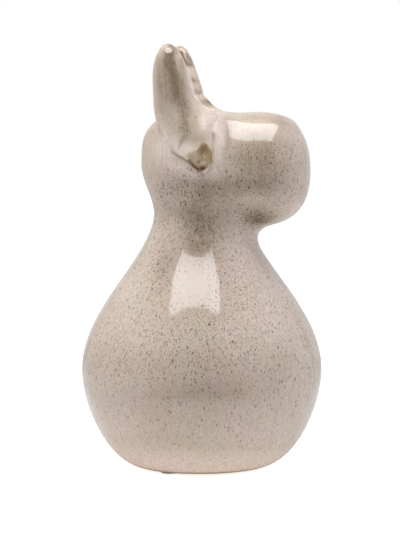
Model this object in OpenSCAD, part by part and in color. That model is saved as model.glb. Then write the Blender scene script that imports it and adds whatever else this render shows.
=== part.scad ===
// Reindeer figurine: a pear-shaped stoneware body with a large rounded head, two stub antlers and
// two small cupped ears, joined with slip before firing. It faces +X and stands on the plane z = 0.

/* [Body] */
// Widest diameter of the pear-shaped body
belly_d = 101; // [98:1:104]
// Height of the widest point above the table
belly_z = 41; // [39:0.5:43]
// Diameter of the foot that the body stands on
foot_d = 52; // [50:0.5:54]
// Width of the flat ring around the underside
foot_ring_w = 8; // [7.5:0.25:10]
// Depth of the hollow inside the foot ring
foot_hollow = 1.5; // [1:0.25:2]
// Diameter that the body narrows to inside the neck
neck_d = 39; // [38:0.25:40]
// Height at which the neck is narrowest
neck_z = 108; // [107:0.25:109]
// Thickness of the fired clay
wall = 5; // [4.5:0.25:5.5]
// Thickness of the floor above the hollow of the foot
floor_t = 5; // [4:0.25:6]
// Diameter of the vent hole in the floor
vent_d = 12; // [10:0.5:14]

/* [Neck joint] */
// Distance of the joint between body and head below the narrowest point of the neck
seam_drop = 18; // [17:0.25:19]
// Diameter of the bore in the top of the body
bore_d = 40; // [39:0.25:41]
// Depth of the bore
bore_depth = 8; // [7.5:0.25:9]
// Length of the spigot under the head
spigot_l = 7; // [5:0.25:7]
// Thickness of the spigot
spigot_t = 4; // [3:0.25:4.5]
// Thickness of the slip between two joined pieces
slip_gap = 0.4; // [0.3:0.05:0.6]

/* [Head] */
// Length of the skull from back to front
skull_l = 49.4; // [47:0.2:51]
// Width of the skull
skull_w = 46; // [45:0.5:47]
// Height of the skull
skull_h = 37.2; // [36.6:0.2:38.2]
// Distance of the skull's middle in front of the body's axis
skull_x = 0.5; // [0:0.1:1]
// Height of the skull's middle above the narrowest point of the neck
skull_up = 23.3; // [22.8:0.1:24]
// Length of the muzzle
muzzle_l = 46.2; // [45:0.2:48]
// Width of the muzzle
muzzle_w = 44; // [42:0.5:46]
// Height of the muzzle
muzzle_h = 47.6; // [46.4:0.2:48.4]
// Distance of the muzzle's middle in front of the skull's middle
muzzle_ahead = 22.4; // [21.5:0.1:23.5]
// Distance of the muzzle's middle below the skull's middle
muzzle_drop = 6.3; // [5.3:0.1:6.9]
// Turn of the muzzle, nose up
muzzle_tilt = 2; // [0:0.5:5]
// Reach of the blend between skull and muzzle
brow_blend = 3; // [2:0.5:6]
// Reach of the blend between head and neck
chin_blend = 11.5; // [9:0.25:12]

/* [Antlers] */
// Height of the antler from its lower end to its tip
antler_h = 53; // [48:0.5:58]
// Distance of the antler's lower end below the skull's middle
antler_foot_drop = 7.3; // [6.3:0.1:8.3]
// Distance of the lower end in front of the skull's middle
antler_foot_ahead = 4.4; // [3.8:0.1:5]
// Distance that the tip leans back behind the lower end
antler_lean = 15.6; // [14:0.2:17]
// Widest part of the antler from back to front
antler_w = 21.5; // [21:0.25:23]
// Width that the antler tapers to under its rounded tip
antler_tip_w = 15; // [12:0.25:16]
// Thickness of the antler from side to side
antler_t = 12.6; // [12.2:0.2:13.4]
// Thickness under the rounded tip
antler_tip_t = 9.2; // [8:0.2:10]
// Distance of the antler's middle line outside the side of the skull at its lower end
antler_foot_out = 1; // [0.5:0.1:1.5]
// Distance of the antler's tip inside the side of the skull
antler_tip_in = 7; // [5:0.25:9]
// Turn of the upper antler, front edge inwards
antler_twist = 41; // [36:1:44]
// Least height of the antler's lower part above the head
antler_relief = 2; // [1.6:0.1:2.4]
// Length of the spur that runs from the antler's front edge onto the top of the skull
spur_l = 4.2; // [3:0.2:6]
// Height over which the spur sweeps up into the antler's front edge
spur_h = 8; // [6:0.25:9]
// Height of the tenon above the antler's lower end
tenon_up = 15.9; // [15:0.1:17]
// Diameter of the tenon on the antler's back
tenon_d = 6; // [5:0.25:7]
// Length of the tenon inside the head
tenon_l = 3.2; // [2.5:0.1:3.4]

/* [Ears] */
// Height of the ear
ear_h = 12.4; // [11:0.2:13]
// Width of the ear
ear_w = 11.6; // [10:0.2:12]
// Thickness of the ear at its raised edge
ear_edge_t = 1.9; // [1.6:0.1:2.4]
// Thickness of the ear in the hollow of its cup
ear_cup_t = 0.9; // [0.7:0.1:1.2]
// Distance of the ear's middle behind the antler's lower end
ear_back = 1.5; // [1:0.1:2]
// Height of the ear's middle above the antler's lower end
ear_up = 7; // [6.6:0.1:7.6]

/* [Felt pads] */
// Diameter of a felt pad under the foot
pad_d = 7; // [5:0.25:7]
// Thickness of a felt pad
pad_t = 0.8; // [0.6:0.1:1.2]
// Number of felt pads
pad_count = 3; // [3:1:5]

/* [Hidden] */

glaze = [0.76, 0.70, 0.63];
glaze_olive = [0.52, 0.47, 0.34];
bare_clay = [0.66, 0.55, 0.44];
felt = [0.30, 0.29, 0.28];

// Fullness of the curve below the belly, and how sharply it turns under into the foot
foot_full = 1.7;
foot_round = 0.56;
// Roundness of skull and muzzle: 2 is an ellipsoid, more is squarer
head_round = 2.5;
// The same across the muzzle, whose cross-section is an ellipse
muzzle_round = 2;
// Height above the narrow neck of the point inside the head that sees its whole surface
core_up = 8;
// Halvings in the search for a surface along a ray
ray_steps = 20;
// Height above the narrow neck at which the neck's own shape ends inside the head, and how softly it ends
neck_cap_up = 16;
neck_cap_blend = 14;
// Share of the antler's height at which it is widest, and the roundness of its lower end
antler_wide_at = 0.425;
antler_foot_round = 1.7;
// How soon the antler's middle line leans back, and how far inside the skull's side it bows
antler_lean_bend = 1.92;
antler_bow_in = 11.2;
// Shares of the antler's height between which it turns
twist_from = 0.3;
twist_to = 0.68;
// Squareness of the antler's cross-section and sharpness of the ear's two ends
antler_square = 2.2;
ear_point = 1.3;
// Room left between a clay piece and the faceted skin that it is pressed onto
skin_gap = 0.2;
film_gap = 0.08;
// Where the ring of greatest thickness lies on the ear, and the share of it that slip backs
ear_edge_at = 0.72;
ear_slip_share = 0.8;
// Height over which the spur dies out below the top of the skull
spur_fade = 14;
// Least height between the cavity's rounded wall and the flat ends that close it
cavity_margin = 0.5;

foot_z = pad_t;
floor_z = foot_z + foot_hollow + floor_t;
seam_z = neck_z - seam_drop;
seam_r = body_r(seam_z);
spigot_r = bore_d / 2 - slip_gap;
spigot_inner_r = spigot_r - spigot_t;
ledge_z = seam_z + wall / 2;
core = [0, 0, neck_z + core_up];
neck_cap_z = neck_z + neck_cap_up;
skull_mid = [skull_x, 0, neck_z + skull_up];
skull_half = [skull_l, skull_w, skull_h] / 2;
muzzle_mid = skull_mid + [muzzle_ahead, 0, -muzzle_drop];
muzzle_half = [muzzle_l, muzzle_w, muzzle_h] / 2;
ray_max = skull_l + muzzle_l;
antler_foot = skull_mid + [antler_foot_ahead, skull_w / 2 + antler_foot_out, -antler_foot_drop];
antler_bow_y = skull_w / 2 - antler_bow_in;
antler_tip = [antler_foot.x - antler_lean, skull_w / 2 - antler_tip_in, antler_foot.z + antler_h];
spur_z = skull_mid.z + skull_half.z;
tenon_z = antler_foot.z + tenon_up;
tenon_x = antler_mid(antler_share(tenon_z)).x;
ear_x = antler_foot.x - ear_back;
ear_z = antler_foot.z + ear_up;

// Facets around and along the lofted pieces
body_steps = 22;
head_around = 56;
head_rows = 36;
head_inner_rows = 16;
antler_around = 32;
antler_rows = 40;
ear_around = 24;
ear_rings = 4;

function lerp(a, b, t) = a + (b - a) * t;
function smooth(t) = let(c = min(max(t, 0), 1)) c * c * (3 - 2 * c);
function powed(v, e) = sign(v) * pow(abs(v), e);

// Radius of the body's outer surface at a height
function body_r(z) =
  z >= belly_z
    ? let(u = min((z - belly_z) / (neck_z - belly_z), 1))
      neck_d / 2 + (belly_d - neck_d) / 2 * pow(1 - u * u, 2)
    : let(w = min((belly_z - z) / (belly_z - pad_t), 1))
      foot_d / 2 + (belly_d - foot_d) / 2 * pow(1 - pow(w, foot_full), foot_round);

// Body outline from the foot's edge up to the neck joint, closer together where it turns under
function body_outline() = concat(
  [for (i = [body_steps : -1 : 1])
    let(z = lerp(belly_z, foot_z, sin(90 * i / body_steps))) [body_r(z), z]],
  [for (i = [0 : body_steps]) let(z = lerp(belly_z, seam_z, i / body_steps)) [body_r(z), z]]);

// The same outline one wall thickness further in
function body_inline(outline) =
  [for (i = [1 : len(outline) - 2])
    let(run = outline[i + 1] - outline[i - 1], out = [run.y, -run.x] / norm(run)) outline[i] - wall * out];

// Smaller of two distances, rounded off over a reach k
function blend(a, b, k) = let(h = max(k - abs(a - b), 0) / k) min(a, b) - h * h * k / 4;

// Distance along the ray from its middle to a rounded block that is turned nose up, with its own
// roundness across
function lobe(p, mid, half, tilt, across) =
  let(
    q = p - mid,
    x = cos(tilt) * q.x + sin(tilt) * q.z,
    z = cos(tilt) * q.z - sin(tilt) * q.x,
    side = pow(pow(abs(q.y / half.y), across) + pow(abs(z / half.z), across), 1 / across),
    share = pow(pow(abs(x / half.x), head_round) + pow(side, head_round), 1 / head_round))
  share == 0 ? -norm(half) : norm(q) * (1 - 1 / share);

// Head and neck as one blended distance, negative inside
function head_field(p) =
  let(
    skull = lobe(p, skull_mid, skull_half, 0, head_round),
    muzzle = lobe(p, muzzle_mid, muzzle_half, muzzle_tilt, muzzle_round),
    neck = -blend(body_r(min(p.z, neck_z)) - norm([p.x, p.y]), neck_cap_z - p.z, neck_cap_blend))
  blend(blend(skull, muzzle, brow_blend), neck, chin_blend);

// How far along a ray from the core the field reaches a level
function reach(ray, level, near = 0, far = ray_max, steps = ray_steps) =
  let(t = (near + far) / 2)
  steps == 0 ? t
    : head_field(core + ray * t) < level ? reach(ray, level, t, far, steps - 1)
    : reach(ray, level, near, t, steps - 1);

// Half-width of the head, with a gap, at a place seen from the side, or far off where there is no head
function skin_y(x, z, gap, near = 0, far = skull_w, steps = ray_steps) =
  let(y = (near + far) / 2)
  steps == 0 ? (head_field([x, 0, z]) < gap ? y : -ray_max)
    : head_field([x, y, z]) < gap ? skin_y(x, z, gap, y, far, steps - 1)
    : skin_y(x, z, gap, near, y, steps - 1);

// Level circle of points
function ring(r, z, count) =
  [for (j = [0 : count - 1]) let(turn = 360 * j / count) [r * cos(turn), r * sin(turn), z]];

// One ring of points where the field reaches a level, seen from the core at one elevation
function head_ring(elevation, level) =
  [for (j = [0 : head_around - 1])
    let(
      turn = 360 * j / head_around,
      ray = [cos(elevation) * cos(turn), cos(elevation) * sin(turn), sin(elevation)])
    core + ray * reach(ray, level)];

function antler_share(z) = (z - antler_foot.z) / antler_h;

// Middle of the antler at a share of its height
function antler_mid(u) = [
  lerp(antler_tip.x, antler_foot.x, pow(1 - u, antler_lean_bend)),
  pow(1 - u, 2) * antler_foot.y + 2 * u * (1 - u) * antler_bow_y + u * u * antler_tip.y,
  lerp(antler_foot.z, antler_tip.z, u)];

// Half a width of the antler: rounded lower end, straight taper, domed tip
function antler_half(u, wide, tip) =
  u < antler_wide_at
    ? wide / 2 * pow(1 - pow(1 - u / antler_wide_at, antler_foot_round), 1 / antler_foot_round)
    : let(v = (u - antler_wide_at) / (1 - antler_wide_at)) lerp(wide, tip, v) / 2 * sqrt(1 - pow(v, 4));

// Length of the spur at a height: longest on the skull, sweeping up into the antler's front edge
function spur(z) =
  let(
    rise = min(max((z - spur_z) / spur_h, 0), 1),
    fade = smooth(1 - (spur_z - z) / spur_fade))
  spur_l * fade * (1 - sqrt(1 - pow(1 - rise, 2)));

// One level ring of the left antler, pushed off the head wherever it would sink into it
function antler_ring(u) =
  let(
    mid = antler_mid(u),
    half_w = antler_half(u, antler_w, antler_tip_w),
    half_t = antler_half(u, antler_t, antler_tip_t),
    front_w = half_w + spur(mid.z),
    twist = antler_twist * smooth((u - twist_from) / (twist_to - twist_from)))
  [for (j = [0 : antler_around - 1])
    let(
      turn = 360 * (j + 0.5) / antler_around,
      along = (cos(turn) > 0 ? front_w : half_w) * powed(cos(turn), 2 / antler_square),
      out = half_t * powed(sin(turn), 2 / antler_square),
      x = mid.x + cos(twist) * along + sin(twist) * out,
      y = mid.y + cos(twist) * out - sin(twist) * along)
    [x, max(y, skin_y(x, mid.z, skin_gap) + antler_relief * max(sin(turn), 0)), mid.z]];

// Outer face of the antler's lower part at a place seen from the side
function antler_face_y(x, z) =
  let(
    u = antler_share(z),
    mid = antler_mid(u),
    off = min(abs(x - mid.x) / antler_half(u, antler_w, antler_tip_w), 1),
    rise = pow(1 - pow(off, antler_square), 1 / antler_square))
  max(mid.y + antler_half(u, antler_t, antler_tip_t) * rise,
      skin_y(x, z, skin_gap) + antler_relief * pow(rise, antler_square / 2));

// One ring of the left ear: the pointed outline at a scale, a height above the antler's face
function ear_ring(scale_to, height) =
  [for (j = [0 : ear_around - 1])
    let(
      turn = 360 * j / ear_around,
      x = ear_x - scale_to * ear_w / 2 * powed(cos(turn), ear_point),
      z = ear_z + scale_to * ear_h / 2 * powed(sin(turn), ear_point))
    [x, antler_face_y(x, z) + height, z]];

function ear_point_at(height) = [ear_x, antler_face_y(ear_x, ear_z) + height, ear_z];

// Height of the ear's front above its back: a cup with a raised ring and a thin edge
function ear_front(scale_to) =
  scale_to < ear_edge_at
    ? lerp(ear_cup_t, ear_edge_t, smooth(scale_to / ear_edge_at))
    : lerp(ear_edge_t, ear_cup_t / 2, smooth((scale_to - ear_edge_at) / (1 - ear_edge_at)));

// Closed skin over rings of equal count, from a first point to a last point
module loft(first, rings, last) {
  around = len(rings[0]);
  count = len(rings);
  points = concat([first], [for (r = rings, p = r) p], [last]);
  end = len(points) - 1;
  function at(i, j) = 1 + i * around + j % around;
  faces = concat(
    [for (j = [0 : around - 1]) [0, at(0, j), at(0, j + 1)]],
    [for (i = [0 : count - 2], j = [0 : around - 1]) [at(i, j), at(i + 1, j), at(i + 1, j + 1)]],
    [for (i = [0 : count - 2], j = [0 : around - 1]) [at(i, j), at(i + 1, j + 1), at(i, j + 1)]],
    [for (j = [0 : around - 1]) [at(count - 1, j), end, at(count - 1, j + 1)]]);
  polyhedron(points, faces);
}

module on_both_sides() {
  children();
  mirror([0, 1, 0]) children();
}

// Tenon or its hole on the left of the head, from inside the wall out into the antler
module tenon(d, into_head, into_antler) {
  skin = skin_y(tenon_x, tenon_z, 0);
  translate([tenon_x, skin - into_head, tenon_z])
    rotate([-90, 0, 0]) cylinder(d = d, h = into_head + into_antler, $fn = 48);
}

module body_shell() {
  outline = body_outline();
  low = floor_z + cavity_margin;
  high = seam_z - bore_depth - cavity_margin;
  inside = [for (p = body_inline(outline)) if (p.y > low && p.y < high) p];
  top = len(inside) - 1;
  color(glaze) rotate_extrude($fn = 128) polygon(concat(
    [[vent_d / 2, foot_z + foot_hollow], [foot_d / 2 - foot_ring_w, foot_z + foot_hollow],
     [foot_d / 2 - foot_ring_w, foot_z]],
    outline,
    [[bore_d / 2, seam_z], [bore_d / 2, seam_z - bore_depth]],
    [for (i = [top : -1 : 0]) inside[i]],
    [[inside[0].x - wall / 4, floor_z], [vent_d / 2, floor_z]]));
}

module head_shell() {
  low = -atan2(core.z - seam_z, seam_r);
  low_inside = -atan2(core.z - ledge_z - wall / 4, seam_r - wall);
  inner_rows = [for (i = [head_inner_rows - 1 : -1 : 0])
    head_ring(lerp(low_inside, 90, i / head_inner_rows), -wall)];
  spigot_rows = [
    ring(spigot_inner_r, ledge_z, head_around),
    ring(spigot_inner_r, seam_z - spigot_l, head_around),
    ring(spigot_r, seam_z - spigot_l, head_around),
    ring(spigot_r, seam_z, head_around),
    ring(seam_r, seam_z, head_around)];
  outer_rows = [for (i = [1 : head_rows - 1]) head_ring(lerp(low, 90, i / head_rows), 0)];
  up = [0, 0, 1];
  inner_top = core + up * reach(up, -wall);
  outer_top = core + up * reach(up, 0);
  color(glaze) difference() {
    loft(inner_top, concat(inner_rows, spigot_rows, outer_rows), outer_top);
    on_both_sides() tenon(tenon_d + 2 * slip_gap, tenon_l + slip_gap, wall);
  }
}

module neck_slip() {
  color(bare_clay) translate([0, 0, seam_z - spigot_l]) difference() {
    cylinder(d = bore_d, h = spigot_l, $fn = 128);
    translate([0, 0, -1]) cylinder(r = spigot_r, h = spigot_l + 2, $fn = 128);
  }
}

module left_antler() {
  rows = [for (i = [1 : antler_rows - 1]) antler_ring((1 - cos(180 * i / antler_rows)) / 2)];
  foot = antler_mid(0);
  skin = skin_y(foot.x, foot.z, skin_gap);
  color(glaze) union() {
    loft([foot.x, skin + antler_relief / 4, foot.z], rows, antler_mid(1));
    tenon(tenon_d, tenon_l, antler_relief * 0.75);
  }
}

module right_antler() { mirror([0, 1, 0]) left_antler(); }

module antler_slip() {
  color(bare_clay) on_both_sides() difference() {
    tenon(tenon_d + 2 * slip_gap, tenon_l, -slip_gap);
    tenon(tenon_d, tenon_l + 1, 1);
  }
}

module left_ear() {
  back = film_gap + slip_gap;
  steps = [for (i = [1 : ear_rings]) i / ear_rings];
  back_rings = [for (s = steps) ear_ring(s, back)];
  front_rings = [for (i = [ear_rings - 1 : -1 : 0]) ear_ring(steps[i], back + ear_front(steps[i]))];
  color(glaze_olive)
    loft(ear_point_at(back), concat(back_rings, front_rings), ear_point_at(back + ear_front(0)));
}

module right_ear() { mirror([0, 1, 0]) left_ear(); }

module ear_slip() {
  steps = [for (i = [1 : ear_rings]) ear_slip_share * i / ear_rings];
  back_rings = [for (s = steps) ear_ring(s, film_gap)];
  front_rings = [for (i = [ear_rings - 1 : -1 : 0]) ear_ring(steps[i], slip_gap)];
  color(bare_clay) on_both_sides()
    loft(ear_point_at(film_gap), concat(back_rings, front_rings), ear_point_at(slip_gap));
}

module felt_pads() {
  color(felt) for (i = [0 : pad_count - 1])
    rotate([0, 0, 360 * i / pad_count])
      translate([(foot_d - foot_ring_w) / 2, 0, 0]) cylinder(d = pad_d, h = pad_t, $fn = 48);
}

body_shell();
head_shell();
neck_slip();
right_antler();
left_antler();
antler_slip();
right_ear();
left_ear();
ear_slip();
felt_pads();
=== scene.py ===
import math
from functools import partialmethod

import bmesh
import bpy
import numpy as np
from bpy.props import FloatProperty, FloatVectorProperty, IntProperty, PointerProperty
from mathutils import Matrix, Quaternion, Vector


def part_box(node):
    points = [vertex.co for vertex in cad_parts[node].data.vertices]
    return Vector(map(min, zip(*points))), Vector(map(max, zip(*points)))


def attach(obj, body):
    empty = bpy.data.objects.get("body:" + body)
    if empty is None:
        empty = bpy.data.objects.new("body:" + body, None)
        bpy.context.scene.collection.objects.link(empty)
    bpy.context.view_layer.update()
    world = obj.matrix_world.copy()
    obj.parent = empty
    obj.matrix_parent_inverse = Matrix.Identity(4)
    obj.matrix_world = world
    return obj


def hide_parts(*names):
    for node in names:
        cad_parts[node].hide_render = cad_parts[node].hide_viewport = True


bl_info = {
    "name": "Stoneware reindeer",
    "version": (1, 0, 0),
    "blender": (4, 5, 0),
    "location": "3D View > Sidebar > Reindeer",
    "description": "Glazed stoneware reindeer: body, head, antlers, ears and felt pads",
    "category": "Object",
}

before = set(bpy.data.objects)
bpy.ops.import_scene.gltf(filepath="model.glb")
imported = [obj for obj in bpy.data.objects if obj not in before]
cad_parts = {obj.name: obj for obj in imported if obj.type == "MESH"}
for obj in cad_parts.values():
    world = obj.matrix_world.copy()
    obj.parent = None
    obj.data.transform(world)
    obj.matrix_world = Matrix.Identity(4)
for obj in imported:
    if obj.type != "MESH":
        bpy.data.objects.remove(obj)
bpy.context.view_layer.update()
BODY_LOW, BODY_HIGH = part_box("body_shell")
ANTLER_LOW, ANTLER_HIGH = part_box("left_antler")
PADS_LOW, PADS_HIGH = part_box("felt_pads")
MM = 0.001
# Half-width that stands for no head at a place
NO_HEAD = -1.0
SIDES = (("left", 1), ("right", -1))
# Bends that stay crisp in the shading
SHARP_BEND, FOOT_BEND = math.radians(50), math.radians(40)
# Rows of faces inside the body, faces round a felt pad and the gap that is welded shut
INSIDE_ROWS, PAD_FACES, WELD = 40, 64, 1e-6


# Settings that a user would change

def length(name, description, default):
    return FloatProperty(name=name, description=description, default=default, unit="LENGTH", subtype="DISTANCE")


def factor(name, description, default):
    return FloatProperty(name=name, description=description, default=default)


def angle(name, description, default):
    return FloatProperty(name=name, description=description, default=math.radians(default), subtype="ANGLE")


def count(name, description, default):
    return IntProperty(name=name, description=description, default=default, min=1)


def colour(name, description, red, green, blue):
    """A colour property, given as the 0 to 255 values that a screen shows."""
    linear = [((v / 255 + 0.055) / 1.055) ** 2.4 for v in (red, green, blue)]
    return FloatVectorProperty(name=name, description=description, default=linear, subtype="COLOR", min=0, max=1)


class BodySizes(bpy.types.PropertyGroup):
    belly_r: length("Belly radius", "Widest radius of the pear-shaped body", BODY_HIGH.x)
    belly_z: length("Belly height", "Height of the widest point", 41 * MM)
    foot_r: length("Foot radius", "Radius of the foot that the body stands on", 26 * MM)
    foot_z: length("Foot height", "Height of the foot above the table", BODY_LOW.z)
    foot_ring: length("Foot ring", "Width of the flat ring round the underside", 8 * MM)
    foot_hollow: length("Foot hollow", "Depth of the hollow inside the foot ring", 1.5 * MM)
    neck_r: length("Neck radius", "Radius of the narrowest part of the neck", 19.5 * MM)
    neck_z: length("Neck height", "Height of the narrowest part of the neck", 108 * MM)
    seam_z: length("Seam height", "Height of the joint between body and head", BODY_HIGH.z)
    wall: length("Wall", "Thickness of the fired clay", 5 * MM)
    floor_t: length("Floor", "Thickness of the floor", 5 * MM)
    vent_r: length("Vent radius", "Radius of the vent hole in the floor", 6 * MM)
    foot_full: factor("Fullness below the belly", "Power of the curve below the belly", 1.7)
    foot_round: factor("Turn into the foot", "Power with which the curve turns under", 0.56)
    around: count("Faces around", "Faces round the body", 224)
    along: count("Faces along", "Faces from foot to seam", 150)


class HeadSizes(bpy.types.PropertyGroup):
    skull_x: length("Skull place", "Middle of the skull in front of the body's axis", 0.5 * MM)
    skull_z: length("Skull height", "Height of the skull's middle", 131.3 * MM)
    skull_l: length("Skull length", "Length of the skull", 49.4 * MM)
    skull_w: length("Skull width", "Width of the skull", 46 * MM)
    skull_h: length("Skull depth", "Height of the skull from top to bottom", 37.2 * MM)
    muzzle_x: length("Muzzle place", "Middle of the muzzle in front of the body's axis", 22.9 * MM)
    muzzle_z: length("Muzzle height", "Height of the muzzle's middle", 125 * MM)
    muzzle_l: length("Muzzle length", "Length of the muzzle", 46.2 * MM)
    muzzle_w: length("Muzzle width", "Width of the muzzle", 44 * MM)
    muzzle_h: length("Muzzle depth", "Height of the muzzle from top to bottom", 47.6 * MM)
    muzzle_tilt: angle("Muzzle tilt", "Turn of the muzzle, nose up", 2)
    roundness: factor("Roundness", "2 is an ellipsoid, more is squarer", 2.5)
    muzzle_round: factor("Muzzle section", "Squareness of the muzzle across, 2 is an ellipse", 2.0)
    brow_blend: length("Brow blend", "Reach of the blend between skull and muzzle", 3 * MM)
    chin_blend: length("Chin blend", "Reach of the blend between head and neck", 11.5 * MM)
    core_z: length("Core height", "Height of the point that sees the whole surface", 116 * MM)
    neck_cap: length("Neck cap", "Height at which the neck's own shape ends inside the head", 124 * MM)
    neck_cap_blend: length("Neck cap blend", "How softly the neck's shape ends", 14 * MM)
    spigot_r: length("Spigot radius", "Radius of the spigot in the body's bore", 19.6 * MM)
    spigot_l: length("Spigot length", "Length of the spigot", 7 * MM)
    spigot_t: length("Spigot wall", "Thickness of the spigot", 4 * MM)
    fold: length("Fold", "Depth of the soft fold behind the muzzle", 0.25 * MM)
    dip: length("Dip", "Depth of the shallow dip between brow and muzzle", 1.15 * MM)
    cheek: length("Cheek", "Height of the soft swelling high on the muzzle's side", 0.6 * MM)
    ridge: length("Ridge", "Height of the ridge in front of the ear", 0.5 * MM)
    nose_corner: length("Nose corner", "Height of the corner above the nose", 0.8 * MM)
    around: count("Faces around", "Faces round the head", 288)
    rows: count("Rows", "Rows of faces from seam to crown", 200)
    inner_rows: count("Inner rows", "Rows of faces on the hidden inside", 24)


class AntlerSizes(bpy.types.PropertyGroup):
    foot_z: length("Foot height", "Height of the antler's lower end", ANTLER_LOW.z)
    tip_z: length("Tip height", "Height of the antler's tip", ANTLER_HIGH.z)
    foot_x: length("Foot place", "Place of the lower end in front of the body's axis", 4.9 * MM)
    foot_y: length("Foot spread", "Half the spread at the lower end", 24 * MM)
    bow_y: length("Bow", "Half-spread that the middle line bows towards", 11.8 * MM)
    tip_x: length("Tip place", "Place of the tip in front of the body's axis", -10.7 * MM)
    tip_y: length("Tip spread", "Half the spread at the tip", 16 * MM)
    lean: factor("Lean", "How soon the middle line leans back", 1.92)
    wide: length("Width", "Greatest width from back to front", 21.5 * MM)
    tip_wide: length("Tip width", "Width under the rounded tip", 15 * MM)
    thick: length("Thickness", "Greatest thickness", 12.6 * MM)
    tip_thick: length("Tip thickness", "Thickness under the rounded tip", 9.2 * MM)
    wide_at: factor("Widest at", "Share of the height at which it is widest", 0.425)
    foot_round: factor("Foot roundness", "Roundness of the lower end", 1.7)
    square: factor("Squareness", "Squareness of the cross-section", 2.2)
    twist: angle("Twist", "Turn of the upper part, front edge inwards", 41)
    twist_from: factor("Twist from", "Share of the height where the turn starts", 0.3)
    twist_to: factor("Twist to", "Share of the height where the turn ends", 0.68)
    relief: length("Relief", "Least height of the lower part above the head", 2 * MM)
    fillet: length("Fillet", "Reach of the soft edge onto the head", 1.6 * MM)
    tuck: length("Tuck", "Depth of the hidden back under the head's skin", 0.4 * MM)
    spur_z: length("Spur height", "Height of the top of the skull, where the spur lies", 149.9 * MM)
    spur_l: length("Spur length", "Length of the spur on the skull", 4.2 * MM)
    spur_h: length("Spur rise", "Height over which the spur sweeps up", 8 * MM)
    spur_fade: length("Spur fade", "Height over which the spur dies out below", 14 * MM)
    groove: length("Groove", "Depth of the furrow down the outer face", 0.35 * MM)
    scoop: length("Scoop", "Depth of the hollow above the ear", 1.3 * MM)
    nick: length("Nick", "Depth of the nick in the front edge above the spur", 0.9 * MM)
    heel: factor("Heel", "Share of the width that is trimmed off the back of the lower end", 0.55)
    rows: count("Rows", "Rows of faces from foot to tip", 180)
    around: count("Faces around", "Faces round the antler", 144)


class EarSizes(bpy.types.PropertyGroup):
    x: length("Place", "Middle of the ear in front of the body's axis", 3.4 * MM)
    z: length("Height", "Height of the ear's middle", 131 * MM)
    wide: length("Width", "Width of the ear", 11.6 * MM)
    high: length("Length", "Height of the ear", 12.4 * MM)
    point: factor("Point", "Sharpness of the ends", 1.3)
    edge_t: length("Edge", "Height of the raised edge over the antler", 0.16 * MM)
    cup_t: length("Cup", "Height of the cup's floor over the antler", 0.08 * MM)
    edge_at: factor("Edge at", "Where the raised edge lies, from middle to rim", 0.5)
    lip: length("Lip", "Height of the rim over the antler", 0.04 * MM)
    tuck: length("Tuck", "Depth of the hidden back under the antler's skin", 0.25 * MM)
    slip: length("Slip", "Half the thickness of the film of slip behind the ear", 0.06 * MM)
    rings: count("Rings", "Rings of faces", 40)
    around: count("Faces around", "Faces round the ear", 112)


class PadSizes(bpy.types.PropertyGroup):
    number: count("Number", "Felt pads under the foot", 3)
    ring_r: length("Ring radius", "Radius of the ring that they sit on", 22 * MM)
    pad_r: length("Pad radius", "Radius of one pad", 3.5 * MM)
    thick: length("Thickness", "Thickness of one pad", PADS_HIGH.z - PADS_LOW.z)


class GlazeColours(bpy.types.PropertyGroup):
    glaze: colour("Glaze", "Main colour of the glaze", 199, 182, 163)
    # Also the colour of painted light
    thin: colour("Thin glaze", "Colour where the glaze is thin, over edges", 232, 215, 204)
    # Also the colour of painted shade
    pooled: colour("Pooled glaze", "Colour where the glaze is thick", 140, 124, 104)
    broken: colour("Broken glaze", "Colour where the glaze breaks over an edge", 120, 88, 56)
    ear_pooled: colour("Ear glaze", "Colour of the thick glaze in the ear", 159, 136, 92)
    ear_broken: colour("Ear brown", "Colour of the brown spots in the ear", 106, 58, 30)
    speck: colour("Iron specks", "Colour of the iron specks", 86, 70, 48)
    clay: colour("Bare clay", "Colour of unglazed clay", 176, 152, 126)
    felt: colour("Felt", "Colour of the felt", 150, 141, 128)


class StageSizes(bpy.types.PropertyGroup):
    azimuth: angle("Camera azimuth", "Turn of the camera from the side view towards the nose", 8)
    distance: length("Camera distance", "Distance from the body's axis", 900 * MM)
    height: length("Camera height", "Height of the camera", 150 * MM)
    aim_z: length("Aim height", "Height of the point on the axis that it looks at", 84.25 * MM)
    aim_left: length("Aim offset", "How far left of the axis it looks", 0.44 * MM)
    roll: angle("Roll", "Turn of the camera about its view", -0.4)
    lens: FloatProperty(name="Lens", description="Focal length on a 36 mm frame", default=145.2, unit="CAMERA")
    softbox_w: length("Softbox width", "Width of the softbox overhead", 0.54)
    softbox_d: length("Softbox depth", "Depth of the softbox", 0.44)
    softbox_x: length("Softbox side", "Middle of the softbox in front of the axis", -0.035)
    softbox_turn: angle("Softbox turn", "Turn of the softbox about the upright", 2.5)
    softbox_y: length("Softbox place", "Middle of the softbox behind the axis", -0.133)
    softbox_z: length("Softbox height", "Height of the softbox", 0.65)
    softbox: factor("Softbox brightness", "Brightness of the softbox", 5.6)
    side: factor("Side brightness", "Brightness of the side panels", 0.62)
    back: factor("Back brightness", "Brightness of the panel behind", 0.6)
    around: factor("Surround", "Brightness of the rest of the studio", 0.12)
    floor: colour("Floor", "Colour of the floor", 240, 240, 240)
    table_r: length("Table radius", "How far the floor before the figure shows in the glaze", 0.115)
    floor_glow: factor("Floor glow", "Lift of the floor to white near the figure", 0.8)
    floor_lift: factor("Floor lift", "Light from the floor onto the underside", 0.6)


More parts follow.
